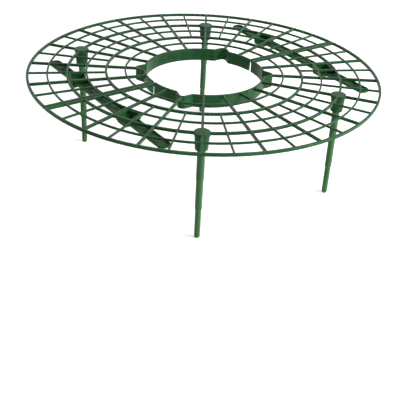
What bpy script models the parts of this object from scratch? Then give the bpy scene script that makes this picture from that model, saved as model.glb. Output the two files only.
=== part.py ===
"""Strawberry plant support: a round open grid in two halves, on four push-in legs.

Frame: +Z is up, +Y runs along the seam between the halves, and +X runs along the two clip bars.
The origin is on the ground, under the middle of the plant hole. All lengths are in metres.
"""

import math

import bmesh
import bpy

MM = 0.001

# Whole support
OVERALL_HEIGHT = 94.0 * MM
RIM_RADIUS = 150.0 * MM
PLANT_HOLE_RADIUS = 50.0 * MM
SEAM_GAP = 1.6 * MM

# Grid layout: the plant collar counts as ring 0 and the rim is the last ring
RING_COUNT = 6
DIVISIONS_PER_HALF = 20
INNER_RING_OF_SHORT_SPOKES = 2

# Grid ribs
MAIN_RIB_WIDTH = 2.1 * MM
MAIN_RIB_DEPTH = 2.3 * MM
FINE_RIB_WIDTH = 1.5 * MM
FINE_RIB_DEPTH = 1.7 * MM
RIM_WIDTH = 2.2 * MM
RIM_DEPTH = 2.4 * MM
SEAM_RIB_WIDTH = 2.2 * MM
RIB_DRAFT = 0.12 * MM
SPOKE_SINK = 0.1 * MM

# Collar round the plant hole, with an outward ear where a long spoke meets it
COLLAR_WALL = 1.8 * MM
COLLAR_DEPTH = 10.9 * MM
COLLAR_RISE = 0.2 * MM
COLLAR_END_SETBACK = 0.8 * MM
EAR_DIVISION = 6
EAR_HALF_SPREAD = math.radians(8)
EAR_HALF_CORNER = math.radians(36)
EAR_CORNER_RADIUS = 3.5 * MM

# Leg sockets
SOCKET_RING = 4
SOCKET_DIVISION = 4
SOCKET_RISE = 0.3 * MM
SOCKET_FLANGE_RADIUS = 6.4 * MM
SOCKET_FLANGE_THICKNESS = 2.6 * MM
SOCKET_CUP_TOP_RADIUS = 5.8 * MM
SOCKET_CUP_MOUTH_RADIUS = 5.1 * MM
SOCKET_CUP_DEPTH = 15.0 * MM
SOCKET_MOUTH_CHAMFER = 1.1 * MM
SOCKET_ROOF = 2.4 * MM

# Legs
LEG_UPPER_RADIUS = 3.08 * MM
LEG_MIDDLE_RADIUS = 2.84 * MM
LEG_LOWER_RADIUS = 2.44 * MM
LEG_LOWER_LENGTH = 27.2 * MM
LEG_MIDDLE_LENGTH = 26.3 * MM
LEG_SHOULDER = 0.5 * MM
LEG_TIP_FLAT_RADIUS = 1.2 * MM
LEG_PEG_TAPER = 0.22 * MM
LEG_PEG_CHAMFER = 0.7 * MM
LEG_FIT = 0.3 * MM

# Clip bars
CLIP_RING = 3
CLIP_DIVISION = 7
CLIP_LONG_REACH = 96.0 * MM
CLIP_SHORT_REACH = 87.5 * MM
CLIP_WIDTH = 10.5 * MM
CLIP_THICKNESS = 2.2 * MM
CLIP_FLOOR = 1.1 * MM
CLIP_RIM = 1.2 * MM
CLIP_END_RADIUS = 4.4 * MM
CLIP_SEAT_GAP = 0.3 * MM
TUB_LENGTH = 12.5 * MM
TUB_WIDTH = 13.6 * MM
TUB_DEPTH = 5.1 * MM
TUB_WALL = 1.3 * MM
PLUG_WALL = 1.3 * MM
PLUG_FIT = 0.35 * MM
PLUG_SINK = 0.5 * MM

# Roundness
ARC_STEP = math.radians(4.5)
TURNED_SIDES = 20
FILLET_STEPS = 3
EAR_STEPS = 4

# Places that follow from the sizes above
COLLAR_RADIUS = PLANT_HOLE_RADIUS + COLLAR_WALL / 2
RIM_LINE_RADIUS = RIM_RADIUS - RIM_WIDTH / 2
RING_PITCH = (RIM_LINE_RADIUS - COLLAR_RADIUS) / RING_COUNT
DIVISION_ANGLE = math.pi / DIVISIONS_PER_HALF
RING_TOP = OVERALL_HEIGHT - SOCKET_RISE
SPOKE_TOP = RING_TOP - SPOKE_SINK
SEAM_RIB_DEPTH = MAIN_RIB_DEPTH - 2 * SPOKE_SINK
HALF_OFFSET = SEAM_GAP / 2
SOCKET_ANGLE = SOCKET_DIVISION * DIVISION_ANGLE
SOCKET_MOUTH = OVERALL_HEIGHT - SOCKET_CUP_DEPTH
SOCKET_CEILING = OVERALL_HEIGHT - SOCKET_ROOF
LEG_TOP = SOCKET_CEILING - LEG_FIT


def ring_radius(ring):
    return COLLAR_RADIUS + ring * RING_PITCH


def socket_place(side):
    """Axis of a half's socket in the half's own frame, on the +Y side or the -Y side."""
    radius = ring_radius(SOCKET_RING)
    return radius * math.cos(SOCKET_ANGLE), side * radius * math.sin(SOCKET_ANGLE)


# Mesh helpers


def mesh_object(name, build):
    """A new object whose mesh is filled by build(bm), with its faces turned outwards."""
    bm = bmesh.new()
    build(bm)
    bmesh.ops.recalc_face_normals(bm, faces=bm.faces)
    mesh = bpy.data.meshes.new(name)
    bm.to_mesh(mesh)
    bm.free()
    thing = bpy.data.objects.new(name, mesh)
    bpy.context.scene.collection.objects.link(thing)
    return thing


def loft(bm, sections):
    """Skin a run of equal sections, each a loop of points, and cap both ends."""
    loops = [[bm.verts.new(point) for point in section] for section in sections]
    for low, high in zip(loops, loops[1:]):
        for i in range(len(low)):
            j = (i + 1) % len(low)
            bm.faces.new((low[i], low[j], high[j], high[i]))
    bm.faces.new(list(reversed(loops[0])))
    bm.faces.new(loops[-1])


def prism(bm, outline, low, high):
    """Extrude a plan outline from one height to another."""
    loft(bm, [[(x, y, z) for x, y in outline] for z in (low, high)])


def turned(bm, profile, centre=(0.0, 0.0)):
    """Revolve a profile of (radius, height) points, from bottom to top, and cap both ends."""
    sections = []
    for radius, height in profile:
        section = []
        for i in range(TURNED_SIDES):
            angle = 2 * math.pi * i / TURNED_SIDES
            x = centre[0] + radius * math.cos(angle)
            y = centre[1] + radius * math.sin(angle)
            section.append((x, y, height))
        sections.append(section)
    loft(bm, sections)


def combine(base, others, operation):
    """Join or cut a base object with others, and bake the result into the base's mesh."""
    group = bpy.data.collections.new(base.name + "_tools")
    for other in others:
        group.objects.link(other)
        other.hide_render = True
        other.display_type = "WIRE"
    modifier = base.modifiers.new(operation.lower(), "BOOLEAN")
    modifier.operation = operation
    modifier.operand_type = "COLLECTION"
    modifier.collection = group
    modifier.solver = "EXACT"
    bpy.context.view_layer.update()
    shape = base.evaluated_get(bpy.context.evaluated_depsgraph_get())
    baked = bpy.data.meshes.new_from_object(shape)
    base.modifiers.remove(modifier)
    base.data = baked
    for other in others:
        bpy.data.objects.remove(other)
    bpy.data.collections.remove(group)
    return base


def shade(thing):
    thing.data.shade_smooth()
    thing.data.set_sharp_from_angle(angle=math.radians(35))


# Materials


def moulded_green(name, colour, roughness):
    material = bpy.data.materials.new(name)
    material.use_nodes = True
    shader = material.node_tree.nodes["Principled BSDF"]
    shader.inputs["Base Color"].default_value = (*colour, 1.0)
    shader.inputs["Roughness"].default_value = roughness
    shader.inputs["Metallic"].default_value = 0.0
    return material


# Grid half, in its own frame: the half disc on the +X side of its straight edge


def rib_section(width, depth, top):
    """Corners of a rib across its run: full width on top, drafted narrower below."""
    wide = width / 2
    narrow = wide - RIB_DRAFT
    return [(wide, top), (-wide, top), (-narrow, top - depth), (narrow, top - depth)]


def ring_rib(radius, width, depth):
    """A half ring from the seam edge on one side to the seam edge on the other."""
    inset = SEAM_RIB_WIDTH / 2
    reach = math.acos(inset / radius)
    steps = max(2, round(2 * reach / ARC_STEP))

    def build(bm):
        sections = []
        for i in range(steps + 1):
            angle = -reach + 2 * reach * i / steps
            section = []
            for across, height in rib_section(width, depth, RING_TOP):
                r = radius + across
                section.append((r * math.cos(angle), r * math.sin(angle), height))
            sections.append(section)
        loft(bm, sections)

    return mesh_object("ring", build)


def straight_rib(start, end, width, depth, top):
    """A rib between two plan points."""
    run = math.hypot(end[0] - start[0], end[1] - start[1])
    along = ((end[0] - start[0]) / run, (end[1] - start[1]) / run)
    side = (-along[1], along[0])

    def build(bm):
        sections = []
        for point in (start, end):
            section = []
            for across, height in rib_section(width, depth, top):
                section.append((point[0] + side[0] * across, point[1] + side[1] * across, height))
            sections.append(section)
        loft(bm, sections)

    return mesh_object("rib", build)


def spokes():
    """Long spokes from the collar and short ones from an inner ring, between the seam ribs."""
    made = []
    for division in range(-DIVISIONS_PER_HALF // 2 + 1, DIVISIONS_PER_HALF // 2):
        angle = division * DIVISION_ANGLE
        direction = (math.cos(angle), math.sin(angle))
        is_long = division % 2 == 0
        inner = COLLAR_RADIUS if is_long else ring_radius(INNER_RING_OF_SHORT_SPOKES)
        if abs(division) == EAR_DIVISION:
            inner = ear_tip()
        width = MAIN_RIB_WIDTH if is_long else FINE_RIB_WIDTH
        depth = MAIN_RIB_DEPTH if is_long else FINE_RIB_DEPTH
        start = (inner * direction[0], inner * direction[1])
        end = (RIM_LINE_RADIUS * direction[0], RIM_LINE_RADIUS * direction[1])
        made.append(straight_rib(start, end, width, depth, SPOKE_TOP))
    return made


def rings():
    """Rings outside the collar: every second one is a main rib, and the last is the rim."""
    made = []
    for ring in range(1, RING_COUNT):
        is_main = ring % 2 == 0
        width = MAIN_RIB_WIDTH if is_main else FINE_RIB_WIDTH
        depth = MAIN_RIB_DEPTH if is_main else FINE_RIB_DEPTH
        made.append(ring_rib(ring_radius(ring), width, depth))
    made.append(ring_rib(RIM_LINE_RADIUS, RIM_WIDTH, RIM_DEPTH))
    return made


def seam_ribs():
    """The straight edge of the half, from the collar's inner face out to the rim on both sides."""
    made = []
    line = SEAM_RIB_WIDTH / 2
    for side in (-1, 1):
        start = (line, side * (PLANT_HOLE_RADIUS + SPOKE_SINK))
        end = (line, side * RIM_LINE_RADIUS)
        made.append(straight_rib(start, end, SEAM_RIB_WIDTH, SEAM_RIB_DEPTH, SPOKE_TOP - SPOKE_SINK))
    return made


def arc_points(radius, start, end):
    steps = max(1, round(abs(end - start) / ARC_STEP))
    angles = [start + (end - start) * i / steps for i in range(steps + 1)]
    return [(radius * math.cos(a), radius * math.sin(a)) for a in angles]


def ear_corner():
    """Distance from the middle of the hole to where an ear's two sides would meet."""
    base = COLLAR_RADIUS * math.cos(EAR_HALF_SPREAD)
    return base + COLLAR_RADIUS * math.sin(EAR_HALF_SPREAD) / math.tan(EAR_HALF_CORNER)


def ear_tip():
    """Distance from the middle of the hole to the rounded tip of an ear's centre line."""
    return ear_corner() - EAR_CORNER_RADIUS / math.sin(EAR_HALF_CORNER) + EAR_CORNER_RADIUS


def ear_points():
    """The rounded corner of the ear in the first quadrant, counter-clockwise."""
    heading = EAR_DIVISION * DIVISION_ANGLE
    centre = ear_tip() - EAR_CORNER_RADIUS
    sweep = math.pi / 2 - EAR_HALF_CORNER
    points = []
    for i in range(EAR_STEPS + 1):
        angle = heading - sweep + 2 * sweep * i / EAR_STEPS
        x = centre * math.cos(heading) + EAR_CORNER_RADIUS * math.cos(angle)
        y = centre * math.sin(heading) + EAR_CORNER_RADIUS * math.sin(angle)
        points.append((x, y))
    return points


def collar_line():
    """Centre line of the collar in plan, from beside the seam at -Y round to beside it at +Y."""
    ear = EAR_DIVISION * DIVISION_ANGLE
    end = math.acos(COLLAR_END_SETBACK / COLLAR_RADIUS)
    upper = arc_points(COLLAR_RADIUS, 0.0, ear - EAR_HALF_SPREAD)
    upper += ear_points()
    upper += arc_points(COLLAR_RADIUS, ear + EAR_HALF_SPREAD, end)
    lower = [(x, -y) for x, y in reversed(upper[1:])]
    return lower + upper


def mitred(line, offset):
    """A line offset sideways by a fixed distance, with mitred corners."""
    moved = []
    for i, (x, y) in enumerate(line):
        before = line[max(i - 1, 0)]
        after = line[min(i + 1, len(line) - 1)]
        normals = []
        for p, q in ((before, (x, y)), ((x, y), after)):
            run = math.hypot(q[0] - p[0], q[1] - p[1])
            if run > 0:
                normals.append(((q[1] - p[1]) / run, -(q[0] - p[0]) / run))
        nx = sum(n[0] for n in normals) / len(normals)
        ny = sum(n[1] for n in normals) / len(normals)
        stretch = offset / (nx * nx + ny * ny)
        moved.append((x + nx * stretch, y + ny * stretch))
    return moved


def collar():
    """The deep wall round the plant hole, following the ears at one thickness."""
    line = collar_line()
    outline = mitred(line, COLLAR_WALL / 2) + list(reversed(mitred(line, -COLLAR_WALL / 2)))
    top = RING_TOP + COLLAR_RISE
    return mesh_object("collar", lambda bm: prism(bm, outline, top - COLLAR_DEPTH, top))


def socket(side):
    """A flange at the grid's top with a tapered cup hanging under it."""
    flange_bottom = OVERALL_HEIGHT - SOCKET_FLANGE_THICKNESS
    profile = [
        (SOCKET_CUP_MOUTH_RADIUS - SOCKET_MOUTH_CHAMFER, SOCKET_MOUTH),
        (SOCKET_CUP_MOUTH_RADIUS, SOCKET_MOUTH + SOCKET_MOUTH_CHAMFER),
        (SOCKET_CUP_TOP_RADIUS, flange_bottom),
        (SOCKET_FLANGE_RADIUS, flange_bottom),
        (SOCKET_FLANGE_RADIUS, OVERALL_HEIGHT),
    ]
    return mesh_object("socket", lambda bm: turned(bm, profile, socket_place(side)))


def peg_radius(height):
    """The leg's peg narrows slightly from the socket's mouth to its own top."""
    share = (height - SOCKET_MOUTH) / (LEG_TOP - SOCKET_MOUTH)
    return LEG_UPPER_RADIUS - LEG_PEG_TAPER * share


def socket_bore(side):
    """The space for the peg, with one clearance all round, run out past the mouth."""
    below = SOCKET_MOUTH - SOCKET_MOUTH_CHAMFER
    profile = [
        (peg_radius(below) + LEG_FIT, below),
        (peg_radius(SOCKET_CEILING) + LEG_FIT, SOCKET_CEILING),
    ]
    return mesh_object("bore", lambda bm: turned(bm, profile, socket_place(side)))


def grid_half_mesh():
    base = collar()
    solids = rings() + spokes() + seam_ribs() + [socket(side) for side in (-1, 1)]
    combine(base, solids, "UNION")
    combine(base, [socket_bore(side) for side in (-1, 1)], "DIFFERENCE")
    shade(base)
    mesh = base.data
    bpy.data.objects.remove(base)
    return mesh


def grid_halves(material):
    """Both halves are one moulding: the second is the first turned half a turn."""
    mesh = grid_half_mesh()
    mesh.materials.clear()
    mesh.materials.append(material)
    for name, side, turn in (("grid_half_front", 1, 0.0), ("grid_half_back", -1, math.pi)):
        half = bpy.data.objects.new(name, mesh)
        half.location = (side * HALF_OFFSET, 0.0, 0.0)
        half.rotation_euler = (0.0, 0.0, turn)
        bpy.context.scene.collection.objects.link(half)


# Legs


def leg_profile():
    """Radius and height from the rounded tip to the top of the peg, tip at the ground."""
    tip_angle = math.asin(LEG_TIP_FLAT_RADIUS / LEG_LOWER_RADIUS)
    lift = LEG_LOWER_RADIUS * math.cos(tip_angle)
    profile = []
    for i in range(FILLET_STEPS + 1):
        angle = tip_angle + (math.pi / 2 - tip_angle) * i / FILLET_STEPS
        profile.append((LEG_LOWER_RADIUS * math.sin(angle), lift - LEG_LOWER_RADIUS * math.cos(angle)))
    first_step = LEG_LOWER_LENGTH
    second_step = LEG_LOWER_LENGTH + LEG_MIDDLE_LENGTH
    profile += [
        (LEG_LOWER_RADIUS, first_step - LEG_SHOULDER),
        (LEG_MIDDLE_RADIUS, first_step),
        (LEG_MIDDLE_RADIUS, second_step - LEG_SHOULDER),
        (LEG_UPPER_RADIUS, second_step),
        (LEG_UPPER_RADIUS, SOCKET_MOUTH),
        (peg_radius(LEG_TOP - LEG_PEG_CHAMFER), LEG_TOP - LEG_PEG_CHAMFER),
        (peg_radius(LEG_TOP) - LEG_PEG_CHAMFER, LEG_TOP),
    ]
    return profile


def legs(material):
    """Four equal stakes, each with its origin on its own axis at the ground."""
    leg = mesh_object("leg", lambda bm: turned(bm, leg_profile()))
    shade(leg)
    mesh = leg.data
    mesh.materials.append(material)
    bpy.data.objects.remove(leg)
    places = (
        ("leg_front", 1, -1),
        ("leg_right", 1, 1),
        ("leg_back", -1, 1),
        ("leg_left", -1, -1),
    )
    for name, half_side, socket_side in places:
        x, y = socket_place(socket_side)
        stake = bpy.data.objects.new(name, mesh)
        stake.location = (half_side * (HALF_OFFSET + x), y, 0.0)
        bpy.context.scene.collection.objects.link(stake)


# Clip bars, each in its own frame with the middle of the support on its line at x = 0


def plug_cell():
    """Middle of the grid cell that a plug fills: its radius and angle about the half's centre."""
    radius = ring_radius(CLIP_RING + 0.5)
    angle = (CLIP_DIVISION + 0.5) * DIVISION_ANGLE
    return radius, angle


def clip_line():
    """Distance of a clip bar's centre line from the middle of the support."""
    radius, angle = plug_cell()
    return radius * math.sin(angle)


def tub_middle():
    """Distance of a tub's middle from the middle of the support, under the cell that its plug fills."""
    radius, angle = plug_cell()
    return HALF_OFFSET + radius * math.cos(angle)


def bar_end(end, inset):
    """Places and half widths along a bar's rounded end, its plan drawn in by an inset."""
    corner = CLIP_END_RADIUS - inset
    half_width = CLIP_WIDTH / 2 - inset
    stations = []
    for i in range(FILLET_STEPS + 1):
        angle = math.pi / 2 * i / FILLET_STEPS
        x = end - inset - corner + corner * math.sin(angle)
        stations.append((x, half_width - corner + corner * math.cos(angle)))
    return stations


def bar_body(name, inset, low, high):
    """A straight bar with a short arm at -X and a long arm at +X."""
    short_end = [(-x, w) for x, w in reversed(bar_end(CLIP_SHORT_REACH, inset))]
    run = short_end + bar_end(CLIP_LONG_REACH, inset)

    def build(bm):
        loft(bm, [[(x, -w, low), (x, w, low), (x, w, high), (x, -w, high)] for x, w in run])

    return mesh_object(name, build)


def tub_outline(side, inset):
    """Plan outline of a tub, squared with the bar and drawn in by an inset."""
    reach_x = TUB_LENGTH / 2 - inset
    reach_y = TUB_WIDTH / 2 - inset
    corners = ((1, 1), (-1, 1), (-1, -1), (1, -1))
    return [(side * tub_middle() + a * reach_x, b * reach_y) for a, b in corners]


def plug_outline(side, hand, inset):
    """Plan outline of a plug: its grid cell drawn in by the fit and by an inset."""
    margin = PLUG_FIT + inset
    low_line = CLIP_DIVISION * DIVISION_ANGLE
    high_line = low_line + DIVISION_ANGLE
    inner = ring_radius(CLIP_RING) + FINE_RIB_WIDTH / 2 + margin
    outer = ring_radius(CLIP_RING + 1) - MAIN_RIB_WIDTH / 2 - margin
    corners = []
    for radius in (inner, outer):
        low_angle = low_line + math.asin((FINE_RIB_WIDTH / 2 + margin) / radius)
        high_angle = high_line - math.asin((MAIN_RIB_WIDTH / 2 + margin) / radius)
        corners.append([(radius, low_angle), (radius, high_angle)])
    points = []
    for radius, angle in corners[0] + list(reversed(corners[1])):
        x = HALF_OFFSET + radius * math.cos(angle)
        y = radius * math.sin(angle) - clip_line()
        points.append((side * x, hand * y))
    return points


def block(name, outline, low, high):
    return mesh_object(name, lambda bm: prism(bm, outline, low, high))


def clip_bar_mesh(hand):
    """A shallow channel with two tubs hanging in it and a hollow plug standing over each tub."""
    top = SPOKE_TOP - MAIN_RIB_DEPTH - CLIP_SEAT_GAP
    bottom = top - CLIP_THICKNESS
    floor = bottom + CLIP_FLOOR
    tub_bottom = top - TUB_DEPTH
    tub_floor = tub_bottom + TUB_WALL
    plug_top = RING_TOP - PLUG_SINK
    above = plug_top + PLUG_WALL
    bar = bar_body("bar", 0.0, bottom, top)
    combine(bar, [bar_body("channel", CLIP_RIM, floor, top + CLIP_RIM)], "DIFFERENCE")
    solids = []
    hollows = []
    for side in (-1, 1):
        mouth = plug_outline(side, hand, PLUG_WALL)
        solids.append(block("tub", tub_outline(side, 0.0), tub_bottom, top - SPOKE_SINK))
        solids.append(block("plug", plug_outline(side, hand, 0.0), bottom + SPOKE_SINK, plug_top))
        well = block("well", tub_outline(side, TUB_WALL), tub_floor, top)
        under_mouth = block("under_mouth", mouth, tub_bottom, above)
        hollows.append(combine(well, [under_mouth], "INTERSECT"))
        hollows.append(block("mouth", mouth, floor + SPOKE_SINK, above))
    combine(bar, solids, "UNION")
    combine(bar, hollows, "DIFFERENCE")
    shade(bar)
    mesh = bar.data
    bpy.data.objects.remove(bar)
    return mesh


def clip_bars(material):
    """A handed pair: each is the other's mirror image, so both long arms point to +X."""
    for name, hand in (("clip_bar_right", 1), ("clip_bar_left", -1)):
        mesh = clip_bar_mesh(hand)
        mesh.materials.clear()
        mesh.materials.append(material)
        bar = bpy.data.objects.new(name, mesh)
        bar.location = (0.0, hand * clip_line(), 0.0)
        bpy.context.scene.collection.objects.link(bar)


def clear_scene():
    for thing in list(bpy.data.objects):
        bpy.data.objects.remove(thing)


def main():
    clear_scene()
    grid_halves(moulded_green("grid_green", (0.045, 0.120, 0.048), 0.42))
    clip_bars(moulded_green("clip_green", (0.030, 0.095, 0.036), 0.45))
    legs(moulded_green("leg_green", (0.050, 0.125, 0.052), 0.42))


main()
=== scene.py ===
"""Looks of the strawberry plant support: rounded mouldings, finish, floor, lamps and camera.

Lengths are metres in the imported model's frame: +Z up, +Y along the seam, +X along the clip bars.
"""

import math
from typing import NamedTuple

import bmesh
import bpy
from mathutils import Matrix, Vector

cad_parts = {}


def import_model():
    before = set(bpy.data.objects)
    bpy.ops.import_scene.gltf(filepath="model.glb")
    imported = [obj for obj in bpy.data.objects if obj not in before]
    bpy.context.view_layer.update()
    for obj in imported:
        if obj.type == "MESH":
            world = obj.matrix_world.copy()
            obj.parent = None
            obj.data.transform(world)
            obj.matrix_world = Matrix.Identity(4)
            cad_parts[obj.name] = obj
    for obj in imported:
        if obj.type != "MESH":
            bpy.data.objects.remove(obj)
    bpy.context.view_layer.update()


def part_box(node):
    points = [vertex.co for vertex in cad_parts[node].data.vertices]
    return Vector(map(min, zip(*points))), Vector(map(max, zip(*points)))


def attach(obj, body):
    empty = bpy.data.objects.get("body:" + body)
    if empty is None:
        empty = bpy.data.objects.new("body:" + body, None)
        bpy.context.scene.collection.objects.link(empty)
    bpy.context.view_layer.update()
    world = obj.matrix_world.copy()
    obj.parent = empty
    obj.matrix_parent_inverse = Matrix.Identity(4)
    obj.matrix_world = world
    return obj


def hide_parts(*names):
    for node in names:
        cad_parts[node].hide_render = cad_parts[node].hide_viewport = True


MM = 0.001

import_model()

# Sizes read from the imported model
HALF_LOW, HALF_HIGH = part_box("grid_half_front")
LEG_LOW, LEG_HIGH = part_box("leg_right")
BAR_LOW, BAR_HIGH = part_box("clip_bar_right")
HALF_OFFSET = HALF_LOW.x
RIM_RADIUS = HALF_HIGH.y
OVERALL_HEIGHT = HALF_HIGH.z
SOCKET_MOUTH = HALF_LOW.z
SOCKET_X = (LEG_LOW.x + LEG_HIGH.x) / 2
SOCKET_Y = (LEG_LOW.y + LEG_HIGH.y) / 2
LEG_UPPER_RADIUS = (LEG_HIGH.x - LEG_LOW.x) / 2
LEG_TOP = LEG_HIGH.z

# Grid layout: the plant collar counts as ring 0 and the rim is the last ring
PLANT_HOLE_RADIUS = 50.0 * MM
RING_COUNT = 6
DIVISIONS_PER_HALF = 20
INNER_RING_OF_SHORT_SPOKES = 2

# Grid ribs: spokes sink a little under the rings, so that no two faces share a plane
MAIN_RIB_WIDTH = 2.1 * MM
MAIN_RIB_DEPTH = 2.3 * MM
FINE_RIB_WIDTH = 1.5 * MM
FINE_RIB_DEPTH = 1.7 * MM
RIM_WIDTH = 2.2 * MM
RIM_DEPTH = 2.4 * MM
RIM_END_SETBACK = 0.15 * MM
SEAM_RIB_WIDTH = 2.2 * MM
RIB_DRAFT = 0.12 * MM
SPOKE_SINK = 0.1 * MM
CROWN_SHARE = 0.2
FOOT_SHARE = 0.12

# Collar round the plant hole, with an outward ear where a long spoke meets it
COLLAR_WALL = 1.8 * MM
COLLAR_DEPTH = 10.9 * MM
COLLAR_RISE = 0.2 * MM
COLLAR_END_SETBACK = 0.8 * MM
EAR_DIVISION = 6
EAR_HALF_SPREAD = math.radians(8)
EAR_HALF_CORNER = math.radians(36)
EAR_CORNER_RADIUS = 3.5 * MM

# Leg sockets
SOCKET_RISE = 0.3 * MM
SOCKET_FLANGE_RADIUS = 6.4 * MM
SOCKET_FLANGE_THICKNESS = 2.6 * MM
SOCKET_FLANGE_EDGE = 0.5 * MM
SOCKET_CUP_TOP_RADIUS = 5.8 * MM
SOCKET_CUP_MOUTH_RADIUS = 5.1 * MM
SOCKET_MOUTH_EDGE = 1.1 * MM
LEG_FIT = 0.3 * MM

# Legs
LEG_MIDDLE_RADIUS = 2.84 * MM
LEG_LOWER_RADIUS = 2.44 * MM
LEG_LOWER_LENGTH = 27.2 * MM
LEG_MIDDLE_LENGTH = 26.3 * MM
LEG_SHOULDER = 0.9 * MM
LEG_TIP_FLAT_RADIUS = 1.2 * MM
LEG_PEG_TAPER = 0.22 * MM
LEG_PEG_CHAMFER = 0.7 * MM
LEG_PARTING_LINE = 0.07 * MM

# Clip bars: tubs and plugs end a stagger inside the bar's faces, so that no two faces share a plane
CLIP_RING = 3
CLIP_DIVISION = 7
CLIP_WIDTH = 10.5 * MM
CLIP_THICKNESS = 2.2 * MM
CLIP_FLOOR = 1.1 * MM
CLIP_RIM = 1.2 * MM
CLIP_END_RADIUS = 4.4 * MM
CLIP_EDGE = 0.35 * MM
TUB_LENGTH = 12.5 * MM
TUB_WIDTH = 13.6 * MM
TUB_DEPTH = 5.1 * MM
TUB_WALL = 1.3 * MM
TUB_CORNER = 1.1 * MM
TUB_EDGE = 0.7 * MM
PLUG_WALL = 1.3 * MM
PLUG_FIT = 0.35 * MM
PLUG_CORNER = 1.0 * MM
HOLLOW_CORNER = 0.4 * MM
BLOCK_STAGGER = 0.1 * MM

# Roundness
ARC_STEP = math.radians(3)
TURNED_SIDES = 48
ROUND_STEPS = 3
FOOT_STEPS = 2
EAR_STEPS = 6
SHOULDER_STEPS = 6
TIP_STEPS = 7
CREASE = math.radians(38)

# Places that follow from the sizes above
COLLAR_RADIUS = PLANT_HOLE_RADIUS + COLLAR_WALL / 2
RIM_LINE_RADIUS = RIM_RADIUS - RIM_WIDTH / 2
RING_PITCH = (RIM_LINE_RADIUS - COLLAR_RADIUS) / RING_COUNT
DIVISION_ANGLE = math.pi / DIVISIONS_PER_HALF
RING_TOP = OVERALL_HEIGHT - SOCKET_RISE
SPOKE_TOP = RING_TOP - SPOKE_SINK
SEAM_RIB_DEPTH = MAIN_RIB_DEPTH - 2 * SPOKE_SINK


# Finish of the polypropylene


class Finish(NamedTuple):
    """One shot of plastic: pigment tones, stretch of its streaks, dust that also paints light on upper
    faces, roughness, gloss, bloom.
    """

    deep: tuple
    mid: tuple
    flow: tuple
    dust_and_top_light: float
    smoothest: float
    roughest: float
    specular: float
    bloom: float


# The dust of each shot also stands for painted light on its upper faces
GRID_FINISH = Finish(
    deep=(0.007, 0.045, 0.012, 1.0),
    mid=(0.013, 0.074, 0.021, 1.0),
    flow=(1.0, 1.0, 0.3),
    dust_and_top_light=0.30,
    smoothest=0.27,
    roughest=0.39,
    specular=0.08,
    bloom=0.08,
)
# The legs' pigment is greener than the grid's, and also painted lighter for light that the legs catch
LEG_FINISH_WITH_PAINTED_LIGHT = Finish(
    deep=(0.014, 0.072, 0.014, 1.0),
    mid=(0.022, 0.106, 0.026, 1.0),
    flow=(1.0, 1.0, 0.12),
    dust_and_top_light=0.25,
    smoothest=0.40,
    roughest=0.52,
    specular=0.30,
    bloom=0.02,
)
CLIP_FINISH = Finish(
    deep=(0.008, 0.052, 0.012, 1.0),
    mid=(0.015, 0.092, 0.023, 1.0),
    flow=(0.15, 1.0, 1.0),
    dust_and_top_light=0.16,
    smoothest=0.20,
    roughest=0.38,
    specular=0.08,
    bloom=0.06,
)
# Pale tone of the flow streaks, and of the dust on upper faces that also paints light on the tops
DUST_AND_TOP_LIGHT_COLOUR = (0.100, 0.165, 0.093, 1.0)
PLASTIC_IOR = 1.49
BLOOM_ROUGHNESS = 0.45

# Noises of the plastic: scale for each metre, and detail
CLOUD_NOISE = (24.0, 3.0)
STREAK_NOISE = (170.0, 4.0)
SPECK_NOISE = (420.0, 3.0)
GRAIN_NOISE = (2600.0, 2.0)
EVEN = (1.0, 1.0, 1.0)

# Spans of a noise, or of how far a face looks up, over which its mark grows to its full strength
CLOUD_SPAN = (0.35, 0.65)
STREAK_SPAN = (0.48, 0.75)
SPECK_SPAN = (0.42, 0.72)
POLISH_SPAN = (0.3, 0.7)
UPWARD_SPAN = (0.35, 0.95)
STREAK_STRENGTH = 0.15
# Least dust, with its painted top light, on upper faces between the specks
DUST_AND_TOP_LIGHT_BETWEEN_SPECKS = 0.03
GRAIN_STRENGTH = 0.12
GRAIN_HEIGHT = 0.05 * MM

# Floor and world: the floor grows brighter away from the support until it meets the white world
WHITE = (1.0, 1.0, 1.0, 1.0)
WORLD_LEVEL = 0.25
FLOOR_REACH = 6.0
FLOOR_COLOUR = (0.86, 0.86, 0.86, 1.0)
FLOOR_ROUGHNESS = 0.9
FLOOR_LIFT_SPAN = (0.35, 1.3)
FLOOR_LIFT_NEAR = 0.55
FLOOR_LIFT_FAR = 1.0


# Lamps


class Softbox(NamedTuple):
    """A rectangular lamp: its place, its width and height, and its power in watts."""

    place: tuple
    width: float
    height: float
    watts: float


SOFTBOXES = {
    "key": Softbox(place=(0.98, 0.71, 0.85), width=0.7, height=0.7, watts=24.0),
    "side": Softbox(place=(0.92, 0.62, 0.10), width=0.9, height=0.18, watts=12.0),
    "fill": Softbox(place=(-0.1, -0.9, 1.3), width=1.1, height=1.1, watts=3.0),
}
LAMP_AIM = Vector((0.0, 0.0, 0.06))

# Camera, in the photograph's own view of the support: its lens and sensor are in millimetres
CAMERA_PLACE = Vector((512.5, -375.2, 354.1)) * MM
CAMERA_AIM = Vector((49.8, -33.9, 0.0)) * MM
CAMERA_ROLL = math.radians(3.06)
CAMERA_LENS = 70.9
CAMERA_SENSOR = 36.0
CAMERA_NEAR = 10 * MM


# Mesh helpers


def mesh_object(name, build):
    """A new object whose mesh is filled by build(bm), with its faces turned outwards."""
    bm = bmesh.new()
    build(bm)
    bmesh.ops.recalc_face_normals(bm, faces=bm.faces)
    mesh = bpy.data.meshes.new(name)
    bm.to_mesh(mesh)
    bm.free()
    thing = bpy.data.objects.new(name, mesh)
    bpy.context.scene.collection.objects.link(thing)
    return thing


def loft(bm, sections):
    """Skin a run of equal sections, each a loop of points, and cap both ends."""
    loops = [[bm.verts.new(point) for point in section] for section in sections]
    for low, high in zip(loops, loops[1:]):
        for i in range(len(low)):
            j = (i + 1) % len(low)
            bm.faces.new((low[i], low[j], high[j], high[i]))
    bm.faces.new(list(reversed(loops[0])))
    bm.faces.new(loops[-1])


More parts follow.
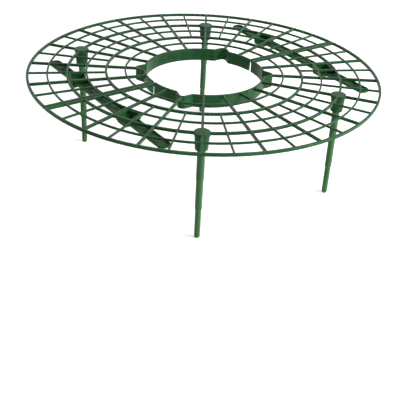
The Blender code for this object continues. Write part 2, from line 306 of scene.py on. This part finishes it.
def turned(bm, profile, centre=(0.0, 0.0), parting_line=0.0):
    """Revolve (radius, height) points from bottom to top, with a fine ridge along both sides."""
    sections = []
    for radius, height in profile:
        section = []
        for i in range(TURNED_SIDES):
            angle = 2 * math.pi * i / TURNED_SIDES
            reach = radius + (parting_line if i % (TURNED_SIDES // 2) == 0 else 0.0)
            x = centre[0] + reach * math.cos(angle)
            y = centre[1] + reach * math.sin(angle)
            section.append((x, y, height))
        sections.append(section)
    loft(bm, sections)


def arc(centre, radius, start, turn, steps):
    """Points of an arc from a starting angle through a turn, both ends included."""
    points = []
    for i in range(steps + 1):
        angle = start + turn * i / steps
        points.append((centre[0] + radius * math.cos(angle), centre[1] + radius * math.sin(angle)))
    return points


def combine(base, others, operation):
    """Join or cut a base object with others, and bake the result into the base's mesh."""
    group = bpy.data.collections.new(base.name + "_tools")
    for other in others:
        group.objects.link(other)
    modifier = base.modifiers.new(operation.lower(), "BOOLEAN")
    modifier.operation = operation
    modifier.operand_type = "COLLECTION"
    modifier.collection = group
    modifier.solver = "EXACT"
    bpy.context.view_layer.update()
    shape = base.evaluated_get(bpy.context.evaluated_depsgraph_get())
    baked = bpy.data.meshes.new_from_object(shape)
    base.modifiers.remove(modifier)
    base.data = baked
    for other in others:
        bpy.data.objects.remove(other)
    bpy.data.collections.remove(group)
    return base


def taken_mesh(thing):
    """The mesh of a finished shape, whose own object is no longer needed."""
    mesh = thing.data
    bpy.data.objects.remove(thing)
    mesh.materials.clear()
    return mesh


def piece(name, mesh, place, material, node_name, body):
    """A moulding at its place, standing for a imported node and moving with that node's body."""
    own = mesh.copy()
    own.transform(place)
    own.materials.append(material)
    own.shade_smooth()
    own.set_sharp_from_angle(angle=CREASE)
    thing = bpy.data.objects.new(name, own)
    bpy.context.scene.collection.objects.link(thing)
    weighted = thing.modifiers.new("flat_faces_stay_flat", "WEIGHTED_NORMAL")
    weighted.keep_sharp = True
    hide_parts(node_name)
    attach(thing, body)


# Grid half, in its own frame: the half disc on the +X side of its straight edge


def ring_radius(ring):
    """Radius of a ring's centre line, where a half number is midway between two rings."""
    return COLLAR_RADIUS + ring * RING_PITCH


def rib_section(width, depth, top):
    """A rib across its run: crowned on top, drafted narrower below, with softened lower edges."""
    wide = width / 2
    narrow = wide - RIB_DRAFT
    crown = CROWN_SHARE * width
    foot = FOOT_SHARE * width
    quarter = math.pi / 2
    section = arc((wide - crown, top - crown), crown, 0.0, quarter, ROUND_STEPS)
    section += arc((crown - wide, top - crown), crown, quarter, quarter, ROUND_STEPS)
    section += arc((foot - narrow, top - depth + foot), foot, 2 * quarter, quarter, FOOT_STEPS)
    section += arc((narrow - foot, top - depth + foot), foot, 3 * quarter, quarter, FOOT_STEPS)
    return section


def ring_rib(radius, width, depth, end):
    """A half ring whose two ends stand a little way in from the straight edge."""
    reach = math.acos(end / radius)
    steps = round(2 * reach / ARC_STEP)

    def build(bm):
        sections = []
        for i in range(steps + 1):
            angle = -reach + 2 * reach * i / steps
            section = []
            for across, height in rib_section(width, depth, RING_TOP):
                out = radius + across
                section.append((out * math.cos(angle), out * math.sin(angle), height))
            sections.append(section)
        loft(bm, sections)

    return mesh_object("ring", build)


def straight_rib(start, end, width, depth, top):
    """A rib between two plan points."""
    run = math.hypot(end[0] - start[0], end[1] - start[1])
    side = ((start[1] - end[1]) / run, (end[0] - start[0]) / run)

    def build(bm):
        sections = []
        for point in (start, end):
            section = []
            for across, height in rib_section(width, depth, top):
                section.append((point[0] + side[0] * across, point[1] + side[1] * across, height))
            sections.append(section)
        loft(bm, sections)

    return mesh_object("rib", build)


def ear_tip():
    """Distance from the middle of the hole to the rounded tip of an ear's centre line."""
    base = COLLAR_RADIUS * math.cos(EAR_HALF_SPREAD)
    corner = base + COLLAR_RADIUS * math.sin(EAR_HALF_SPREAD) / math.tan(EAR_HALF_CORNER)
    return corner - EAR_CORNER_RADIUS / math.sin(EAR_HALF_CORNER) + EAR_CORNER_RADIUS


def spokes():
    """Long spokes from the collar and short ones from an inner ring, between the seam ribs."""
    made = []
    for division in range(-DIVISIONS_PER_HALF // 2 + 1, DIVISIONS_PER_HALF // 2):
        angle = division * DIVISION_ANGLE
        is_long = division % 2 == 0
        inner = COLLAR_RADIUS if is_long else ring_radius(INNER_RING_OF_SHORT_SPOKES)
        if abs(division) == EAR_DIVISION:
            inner = ear_tip()
        width = MAIN_RIB_WIDTH if is_long else FINE_RIB_WIDTH
        depth = MAIN_RIB_DEPTH if is_long else FINE_RIB_DEPTH
        start = (inner * math.cos(angle), inner * math.sin(angle))
        end = (RIM_LINE_RADIUS * math.cos(angle), RIM_LINE_RADIUS * math.sin(angle))
        made.append(straight_rib(start, end, width, depth, SPOKE_TOP))
    return made


def rings():
    """Rings outside the collar: every second one is a main rib, and the last is the rim."""
    made = []
    for ring in range(1, RING_COUNT):
        is_main = ring % 2 == 0
        width = MAIN_RIB_WIDTH if is_main else FINE_RIB_WIDTH
        depth = MAIN_RIB_DEPTH if is_main else FINE_RIB_DEPTH
        made.append(ring_rib(ring_radius(ring), width, depth, SEAM_RIB_WIDTH / 2))
    made.append(ring_rib(RIM_LINE_RADIUS, RIM_WIDTH, RIM_DEPTH, RIM_END_SETBACK))
    return made


def seam_ribs():
    """The straight edge of the half, from the collar's inner face out to the rim on both sides."""
    made = []
    line = SEAM_RIB_WIDTH / 2
    for side in (-1, 1):
        start = (line, side * (PLANT_HOLE_RADIUS + SPOKE_SINK))
        end = (line, side * RIM_LINE_RADIUS)
        made.append(straight_rib(start, end, SEAM_RIB_WIDTH, SEAM_RIB_DEPTH, SPOKE_TOP - SPOKE_SINK))
    return made


def collar_line():
    """Centre line of the collar in plan, from beside the seam at -Y round to beside it at +Y."""
    ear = EAR_DIVISION * DIVISION_ANGLE
    end = math.acos(COLLAR_END_SETBACK / COLLAR_RADIUS)
    sweep = math.pi / 2 - EAR_HALF_CORNER
    reach = ear_tip() - EAR_CORNER_RADIUS
    centre = (reach * math.cos(ear), reach * math.sin(ear))
    before = ear - EAR_HALF_SPREAD
    after = ear + EAR_HALF_SPREAD
    upper = arc((0.0, 0.0), COLLAR_RADIUS, 0.0, before, round(before / ARC_STEP))
    upper += arc(centre, EAR_CORNER_RADIUS, ear - sweep, 2 * sweep, EAR_STEPS)
    upper += arc((0.0, 0.0), COLLAR_RADIUS, after, end - after, round((end - after) / ARC_STEP))
    lower = [(x, -y) for x, y in reversed(upper[1:])]
    return lower + upper


def mitred(line, offset):
    """A line offset sideways by a fixed distance, with mitred corners."""
    moved = []
    for i, (x, y) in enumerate(line):
        before = line[max(i - 1, 0)]
        after = line[min(i + 1, len(line) - 1)]
        normals = []
        for p, q in ((before, (x, y)), ((x, y), after)):
            run = math.hypot(q[0] - p[0], q[1] - p[1])
            if run > 0:
                normals.append(((q[1] - p[1]) / run, -(q[0] - p[0]) / run))
        nx = sum(n[0] for n in normals) / len(normals)
        ny = sum(n[1] for n in normals) / len(normals)
        stretch = offset / (nx * nx + ny * ny)
        moved.append((x + nx * stretch, y + ny * stretch))
    return moved


def collar():
    """The deep wall round the plant hole, following the ears at one thickness."""
    line = collar_line()
    runs = []
    for across, height in rib_section(COLLAR_WALL, COLLAR_DEPTH, RING_TOP + COLLAR_RISE):
        runs.append([(x, y, height) for x, y in mitred(line, across)])
    return mesh_object("collar", lambda bm: loft(bm, list(zip(*runs))))


def socket(side):
    """A flange at the grid's top with a rounded edge, and a tapered cup hanging under it."""
    flange_bottom = OVERALL_HEIGHT - SOCKET_FLANGE_THICKNESS
    quarter = math.pi / 2
    mouth_centre = (SOCKET_CUP_MOUTH_RADIUS - SOCKET_MOUTH_EDGE, SOCKET_MOUTH + SOCKET_MOUTH_EDGE)
    edge_centre = (SOCKET_FLANGE_RADIUS - SOCKET_FLANGE_EDGE, OVERALL_HEIGHT - SOCKET_FLANGE_EDGE)
    profile = arc(mouth_centre, SOCKET_MOUTH_EDGE, -quarter, quarter, ROUND_STEPS)
    profile += [(SOCKET_CUP_TOP_RADIUS, flange_bottom), (SOCKET_FLANGE_RADIUS, flange_bottom)]
    profile += arc(edge_centre, SOCKET_FLANGE_EDGE, 0.0, quarter, ROUND_STEPS)
    centre = (SOCKET_X - HALF_OFFSET, side * SOCKET_Y)
    return mesh_object("socket", lambda bm: turned(bm, profile, centre))


def peg_radius(height):
    """The leg's peg narrows slightly from the socket's mouth to its own top."""
    share = (height - SOCKET_MOUTH) / (LEG_TOP - SOCKET_MOUTH)
    return LEG_UPPER_RADIUS - LEG_PEG_TAPER * share


def socket_bore(side):
    """The space for the peg, with one clearance all round, run out past the mouth."""
    below = SOCKET_MOUTH - SOCKET_MOUTH_EDGE
    ceiling = LEG_TOP + LEG_FIT
    profile = [(peg_radius(z) + LEG_FIT, z) for z in (below, ceiling)]
    centre = (SOCKET_X - HALF_OFFSET, side * SOCKET_Y)
    return mesh_object("bore", lambda bm: turned(bm, profile, centre))


def grid_half_mesh():
    """One closed mesh of a half: its ribs, collar and sockets joined, then the bores cut."""
    base = collar()
    solids = rings() + spokes() + seam_ribs() + [socket(side) for side in (-1, 1)]
    combine(base, solids, "UNION")
    combine(base, [socket_bore(side) for side in (-1, 1)], "DIFFERENCE")
    return taken_mesh(base)


def grid_halves(material):
    """Both halves are one moulding: the second is the first turned half a turn."""
    mesh = grid_half_mesh()
    for where, side, turn in (("front", 1, 0.0), ("back", -1, math.pi)):
        place = Matrix.Translation((side * HALF_OFFSET, 0.0, 0.0)) @ Matrix.Rotation(turn, 4, "Z")
        piece(
            "grid_moulding_" + where,
            mesh,
            place,
            material,
            "grid_half_" + where,
            where + "_half",
        )


# Legs


def leg_shoulder(below, above, height):
    """The eased step from one stage of a leg to the wider one over it, which starts at a height."""
    points = []
    for i in range(SHOULDER_STEPS + 1):
        share = i / SHOULDER_STEPS
        ease = (1 - math.cos(math.pi * share)) / 2
        points.append((below + (above - below) * ease, height - LEG_SHOULDER * (1 - share)))
    return points


def leg_profile():
    """Radius and height from the rounded tip to the top of the peg, tip at the ground."""
    tip_angle = math.asin(LEG_TIP_FLAT_RADIUS / LEG_LOWER_RADIUS)
    tip_turn = math.pi / 2 - tip_angle
    lift = LEG_LOWER_RADIUS * math.cos(tip_angle)
    first_step = LEG_LOWER_LENGTH
    second_step = LEG_LOWER_LENGTH + LEG_MIDDLE_LENGTH
    profile = arc((0.0, lift), LEG_LOWER_RADIUS, -tip_turn, tip_turn, TIP_STEPS)
    profile += leg_shoulder(LEG_LOWER_RADIUS, LEG_MIDDLE_RADIUS, first_step)
    profile += leg_shoulder(LEG_MIDDLE_RADIUS, LEG_UPPER_RADIUS, second_step)
    chamfer_start = LEG_TOP - LEG_PEG_CHAMFER
    profile += [(LEG_UPPER_RADIUS, SOCKET_MOUTH), (peg_radius(chamfer_start), chamfer_start)]
    profile.append((peg_radius(LEG_TOP) - LEG_PEG_CHAMFER, LEG_TOP))
    return profile


def legs(material):
    """Four copies of one turned leg."""
    profile = leg_profile()
    leg = mesh_object("leg", lambda bm: turned(bm, profile, parting_line=LEG_PARTING_LINE))
    mesh = taken_mesh(leg)
    for where, x_side, y_side in (("front", 1, -1), ("right", 1, 1), ("back", -1, 1), ("left", -1, -1)):
        place = Matrix.Translation((x_side * SOCKET_X, y_side * SOCKET_Y, 0.0))
        piece("stake_" + where, mesh, place, material, "leg_" + where, where + "_leg")


# Clip bars, each in its own frame with the middle of the support on its line at x = 0


def drawn_in(corners, inset):
    """A convex plan outline, counter-clockwise, with every side moved inwards."""
    lines = []
    for i, (x, y) in enumerate(corners):
        ahead = corners[(i + 1) % len(corners)]
        run = math.hypot(ahead[0] - x, ahead[1] - y)
        nx = (ahead[1] - y) / run
        ny = (x - ahead[0]) / run
        lines.append((nx, ny, nx * x + ny * y - inset))
    moved = []
    for i in range(len(corners)):
        ax, ay, a = lines[i - 1]
        bx, by, b = lines[i]
        cross = ax * by - ay * bx
        moved.append(((a * by - ay * b) / cross, (ax * b - a * bx) / cross))
    return moved


def rounded(corners, radius):
    """A convex plan outline with its corners rounded."""
    points = []
    for i, centre in enumerate(drawn_in(corners, radius)):
        here = Vector(corners[i])
        heading_in = here - Vector(corners[i - 1])
        heading_out = Vector(corners[(i + 1) % len(corners)]) - here
        start = math.atan2(heading_in.y, heading_in.x) - math.pi / 2
        turn = heading_out.angle(heading_in)
        points += arc(centre, radius, start, turn, 2 * ROUND_STEPS)
    return points


def soft_block(name, corners, corner, low, high, low_edge=0.0, high_edge=0.0):
    """An upright block, rounded at its corners in plan and round its bottom and top edges."""
    levels = []
    for end, inwards, edge in ((low, 1, low_edge), (high, -1, high_edge)):
        steps = ROUND_STEPS if edge else 0
        run = []
        for i in range(steps + 1):
            angle = math.pi / 2 * (1 - i / steps) if edge else 0.0
            run.append((edge * (1 - math.cos(angle)), end + inwards * edge * (1 - math.sin(angle))))
        levels += run if inwards > 0 else reversed(run)

    def build(bm):
        sections = []
        for inset, height in levels:
            outline = rounded(drawn_in(corners, inset), corner - inset)
            sections.append([(x, y, height) for x, y in outline])
        loft(bm, sections)

    return mesh_object(name, build)


def rectangle(x_low, x_high, half_width):
    """Corners of a rectangle about the X axis, counter-clockwise."""
    return [(x_low, -half_width), (x_high, -half_width), (x_high, half_width), (x_low, half_width)]


def plug_cell():
    """Middle of the grid cell that a plug fills: its radius and angle about the half's centre."""
    return ring_radius(CLIP_RING + 0.5), (CLIP_DIVISION + 0.5) * DIVISION_ANGLE


def clip_line():
    """Distance of a clip bar's centre line from the middle of the support."""
    radius, angle = plug_cell()
    return radius * math.sin(angle)


def tub_corners(side):
    """Plan outline of a tub, whose middle is under the middle of its plug's cell."""
    radius, angle = plug_cell()
    middle = side * (HALF_OFFSET + radius * math.cos(angle))
    return rectangle(middle - TUB_LENGTH / 2, middle + TUB_LENGTH / 2, TUB_WIDTH / 2)


def plug_corners(side, hand):
    """Plan outline of a plug, counter-clockwise: its grid cell drawn in by the fit."""
    low_line = CLIP_DIVISION * DIVISION_ANGLE
    inner = ring_radius(CLIP_RING) + FINE_RIB_WIDTH / 2 + PLUG_FIT
    outer = ring_radius(CLIP_RING + 1) - MAIN_RIB_WIDTH / 2 - PLUG_FIT
    points = []
    for radius, at_high_line in ((inner, False), (outer, False), (outer, True), (inner, True)):
        angle = low_line + math.asin((FINE_RIB_WIDTH / 2 + PLUG_FIT) / radius)
        if at_high_line:
            angle = low_line + DIVISION_ANGLE - math.asin((MAIN_RIB_WIDTH / 2 + PLUG_FIT) / radius)
        x = HALF_OFFSET + radius * math.cos(angle)
        y = radius * math.sin(angle) - clip_line()
        points.append((side * x, hand * y))
    return points if side * hand > 0 else points[::-1]


def clip_bar_mesh(hand):
    """A shallow channel with two tubs hanging in it and a hollow plug standing over each tub."""
    tub_bottom = BAR_LOW.z
    plug_top = BAR_HIGH.z
    tub_floor = tub_bottom + TUB_WALL
    top = tub_bottom + TUB_DEPTH
    bottom = top - CLIP_THICKNESS
    bar_floor = bottom + CLIP_FLOOR
    above = plug_top + PLUG_WALL
    outline = rectangle(BAR_LOW.x, BAR_HIGH.x, CLIP_WIDTH / 2)
    channel = drawn_in(outline, CLIP_RIM)
    bar = soft_block("bar", outline, CLIP_END_RADIUS, bottom, top, CLIP_EDGE, CLIP_EDGE)
    hollow = soft_block("channel", channel, CLIP_END_RADIUS - CLIP_RIM, bar_floor, above, CLIP_EDGE)
    combine(bar, [hollow], "DIFFERENCE")
    solids = []
    hollows = []
    for side in (-1, 1):
        tub = tub_corners(side)
        plug = plug_corners(side, hand)
        well = drawn_in(tub, TUB_WALL)
        mouth = drawn_in(plug, PLUG_WALL)
        tub_top = top - BLOCK_STAGGER
        plug_bottom = bottom + BLOCK_STAGGER
        solids.append(soft_block("tub", tub, TUB_CORNER, tub_bottom, tub_top, TUB_EDGE))
        solids.append(soft_block("plug", plug, PLUG_CORNER, plug_bottom, plug_top, 0.0, CLIP_EDGE))
        deep = soft_block("well", well, HOLLOW_CORNER, tub_floor, top)
        under_mouth = soft_block("under_mouth", mouth, HOLLOW_CORNER, tub_bottom, above)
        hollows.append(combine(deep, [under_mouth], "INTERSECT"))
        mouth_bottom = bar_floor + BLOCK_STAGGER
        hollows.append(soft_block("mouth", mouth, HOLLOW_CORNER, mouth_bottom, above))
    combine(bar, solids, "UNION")
    combine(bar, hollows, "DIFFERENCE")
    return taken_mesh(bar)


def clip_bars(material):
    """A handed pair: each is the other's mirror image, so both long arms point to +X."""
    for where, hand in (("right", 1), ("left", -1)):
        place = Matrix.Translation((0.0, hand * clip_line(), 0.0))
        piece(
            "bar_moulding_" + where,
            clip_bar_mesh(hand),
            place,
            material,
            "clip_bar_" + where,
            where + "_clip",
        )


# Materials


def feed(tree, entry, value):
    """Link another node's output to an input, or set the input to a plain value."""
    if isinstance(value, bpy.types.NodeSocket):
        tree.links.new(value, entry)
    else:
        entry.default_value = value


def node(tree, kind, **inputs):
    """A new shader node with inputs fed by name, where _0 and _1 stand for an input's number."""
    made = tree.nodes.new(kind)
    for key, value in inputs.items():
        entry = made.inputs[int(key[1:])] if key[0] == "_" else made.inputs[key]
        feed(tree, entry, value)
    return made


def stretched_noise(tree, place, stretch, scale, detail):
    """Noise on the moulding's own coordinates, stretched along some axes."""
    mapping = node(tree, "ShaderNodeMapping", Vector=place, Scale=stretch)
    vector = mapping.outputs["Vector"]
    noise = node(tree, "ShaderNodeTexNoise", Vector=vector, Scale=scale, Detail=detail)
    return noise.outputs["Fac"]


def spread(tree, value, low, high, to_low, to_high):
    """A value's range carried over to another range, clamped."""
    ends = {"From Min": low, "From Max": high, "To Min": to_low, "To Max": to_high}
    made = node(tree, "ShaderNodeMapRange", Value=value, **ends)
    return made.outputs["Result"]


def blend_colours(tree, factor, first, second):
    """A mix of two colours. The Mix node has its colours at inputs 6 and 7 and at output 2."""
    made = tree.nodes.new("ShaderNodeMix")
    made.data_type = "RGBA"
    feed(tree, made.inputs["Factor"], factor)
    feed(tree, made.inputs[6], first)
    feed(tree, made.inputs[7], second)
    return made.outputs[2]


def multiplied(tree, first, second):
    """The product of two values."""
    made = node(tree, "ShaderNodeMath", _0=first, _1=second)
    made.operation = "MULTIPLY"
    return made.outputs[0]


def moulded_plastic(name, finish):
    """Satin moulded plastic: cloudy pigment, flow streaks, fine grain, and dust on upper faces that
    also paints light on the tops.
    """
    material = bpy.data.materials.new(name)
    material.use_nodes = True
    tree = material.node_tree
    shader = tree.nodes["Principled BSDF"]
    coordinates = tree.nodes.new("ShaderNodeTexCoord")
    place = coordinates.outputs["Object"]

    clouds = stretched_noise(tree, place, EVEN, *CLOUD_NOISE)
    streaks = stretched_noise(tree, place, finish.flow, *STREAK_NOISE)
    specks = stretched_noise(tree, place, EVEN, *SPECK_NOISE)
    grain = stretched_noise(tree, place, EVEN, *GRAIN_NOISE)

    cloudy = spread(tree, clouds, *CLOUD_SPAN, 0.0, 1.0)
    pigment = blend_colours(tree, cloudy, finish.deep, finish.mid)
    streaky = spread(tree, streaks, *STREAK_SPAN, 0.0, STREAK_STRENGTH)
    streaked = blend_colours(tree, streaky, pigment, DUST_AND_TOP_LIGHT_COLOUR)
    # Upward faces are mixed in specks towards the pale tone: partly dust, partly painted light on the
    # tops
    normal = node(tree, "ShaderNodeSeparateXYZ", Vector=coordinates.outputs["Normal"])
    facing_up = spread(tree, normal.outputs["Z"], *UPWARD_SPAN, 0.0, 1.0)
    speckled = spread(tree, specks, *SPECK_SPAN, DUST_AND_TOP_LIGHT_BETWEEN_SPECKS, finish.dust_and_top_light)
    dusted_and_top_lit = blend_colours(tree, multiplied(tree, facing_up, speckled), streaked, DUST_AND_TOP_LIGHT_COLOUR)
    tree.links.new(dusted_and_top_lit, shader.inputs["Base Color"])

    polish = spread(tree, streaks, *POLISH_SPAN, finish.smoothest, finish.roughest)
    tree.links.new(polish, shader.inputs["Roughness"])
    bump = node(tree, "ShaderNodeBump", Height=grain, Strength=GRAIN_STRENGTH, Distance=GRAIN_HEIGHT)
    tree.links.new(bump.outputs["Normal"], shader.inputs["Normal"])
    shader.inputs["IOR"].default_value = PLASTIC_IOR
    shader.inputs["Specular IOR Level"].default_value = finish.specular
    shader.inputs["Sheen Weight"].default_value = finish.bloom
    shader.inputs["Sheen Roughness"].default_value = BLOOM_ROUGHNESS
    return material


# Floor and light


def seen_white(tree):
    """One for rays that see the floor or the world as a background."""
    path = tree.nodes.new("ShaderNodeLightPath")
    total = path.outputs["Is Camera Ray"]
    for name in ("Is Glossy Ray", "Is Transmission Ray"):
        total = node(tree, "ShaderNodeMath", _0=total, _1=path.outputs[name]).outputs[0]
    return total


def floor():
    """A pale floor that keeps the support's shadow and fades into the white world."""
    plane = mesh_object("floor", lambda bm: bmesh.ops.create_grid(bm, size=FLOOR_REACH))
    material = bpy.data.materials.new("floor_white")
    material.use_nodes = True
    tree = material.node_tree
    shader = tree.nodes["Principled BSDF"]
    shader.inputs["Base Color"].default_value = FLOOR_COLOUR
    shader.inputs["Roughness"].default_value = FLOOR_ROUGHNESS
    shader.inputs["Emission Color"].default_value = WHITE
    place = tree.nodes.new("ShaderNodeTexCoord").outputs["Object"]
    away = node(tree, "ShaderNodeVectorMath", _0=place)
    away.operation = "LENGTH"
    distance = away.outputs["Value"]
    lift = spread(tree, distance, *FLOOR_LIFT_SPAN, FLOOR_LIFT_NEAR, FLOOR_LIFT_FAR)
    tree.links.new(multiplied(tree, seen_white(tree), lift), shader.inputs["Emission Strength"])
    plane.data.materials.append(material)


def world():
    """White where it is seen, and a plain soft light on the support."""
    made = bpy.data.worlds.new("studio")
    made.use_nodes = True
    tree = made.node_tree
    background = tree.nodes["Background"]
    background.inputs["Color"].default_value = WHITE
    level = spread(tree, seen_white(tree), 0.0, 1.0, WORLD_LEVEL, 1.0)
    tree.links.new(level, background.inputs["Strength"])
    bpy.context.scene.world = made


def lamps():
    """The softboxes, all turned to the middle of the support."""
    for name, box in SOFTBOXES.items():
        lamp = bpy.data.lights.new(name, "AREA")
        lamp.shape = "RECTANGLE"
        lamp.size = box.width
        lamp.size_y = box.height
        lamp.energy = box.watts
        thing = bpy.data.objects.new(name, lamp)
        thing.location = box.place
        aim = LAMP_AIM - Vector(box.place)
        thing.rotation_euler = aim.to_track_quat("-Z", "Y").to_euler()
        bpy.context.scene.collection.objects.link(thing)


def camera():
    """The camera at the photograph's place, rolled a little as the photograph is."""
    lens = bpy.data.cameras.new("camera")
    lens.lens = CAMERA_LENS
    lens.sensor_width = CAMERA_SENSOR
    lens.sensor_fit = "HORIZONTAL"
    lens.clip_start = CAMERA_NEAR
    thing = bpy.data.objects.new("camera", lens)
    level = (CAMERA_AIM - CAMERA_PLACE).to_track_quat("-Z", "Y").to_matrix().to_4x4()
    thing.matrix_world = Matrix.Translation(CAMERA_PLACE) @ level @ Matrix.Rotation(CAMERA_ROLL, 4, "Z")
    bpy.context.scene.collection.objects.link(thing)
    bpy.context.scene.camera = thing


grid_halves(moulded_plastic("grid_plastic", GRID_FINISH))
legs(moulded_plastic("leg_plastic", LEG_FINISH_WITH_PAINTED_LIGHT))
clip_bars(moulded_plastic("clip_plastic", CLIP_FINISH))
floor()
world()
lamps()
camera()
bpy.context.scene.view_settings.view_transform = "Standard"
